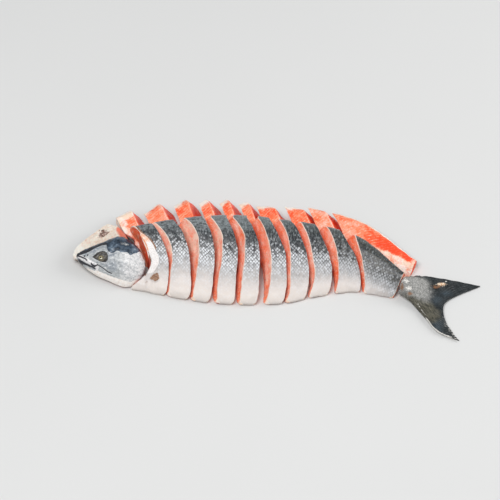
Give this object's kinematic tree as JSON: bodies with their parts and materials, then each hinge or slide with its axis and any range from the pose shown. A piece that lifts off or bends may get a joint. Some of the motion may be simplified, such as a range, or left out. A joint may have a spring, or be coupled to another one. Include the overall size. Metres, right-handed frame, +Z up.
{
  "type": "sliced whole salmon",
  "caption": "Whole salmon split lengthwise and cut in slices, laid out in the fish's own shape, skin side up over flesh side up.",
  "frame": {"origin": "centre of the fish's footprint, on the surface that it lies on", "axes": "+X along the fish from the snout to the tail, +Y across it towards the back (dorsal) side, +Z up"},
  "size_m": [0.6304, 0.2616, 0.0576],
  "materials": {
    "skin": "wet silver scales, dark blue-grey along the back and cream at the belly; the cut faces are salmon pink",
    "flesh": "moist salmon-orange flesh with pale fat lines and a pale band along the back",
    "split_bone": "cream split bone and cartilage with a brown hollow",
    "fin": "dark grey-blue fin with fine rays on a silver stalk"
  },
  "bodies": {
    "root": {"head_near": "skin", "collar_near": "skin", "slice_near_1": "skin", "slice_near_2": "skin", "slice_near_3": "skin", "slice_near_4": "skin", "slice_near_5": "skin", "slice_near_6": "skin", "slice_near_7": "skin", "slice_near_8": "skin", "tailpiece_near": "skin", "head_far": "split_bone", "collar_far": "flesh", "slice_far_1": "flesh", "slice_far_2": "flesh", "slice_far_3": "flesh", "slice_far_4": "flesh", "slice_far_5": "flesh", "slice_far_6": "flesh", "slice_far_7": "flesh", "slice_far_8": "flesh", "tailpiece_far": "flesh", "tail": "fin"}
  },
  "joints": []
}
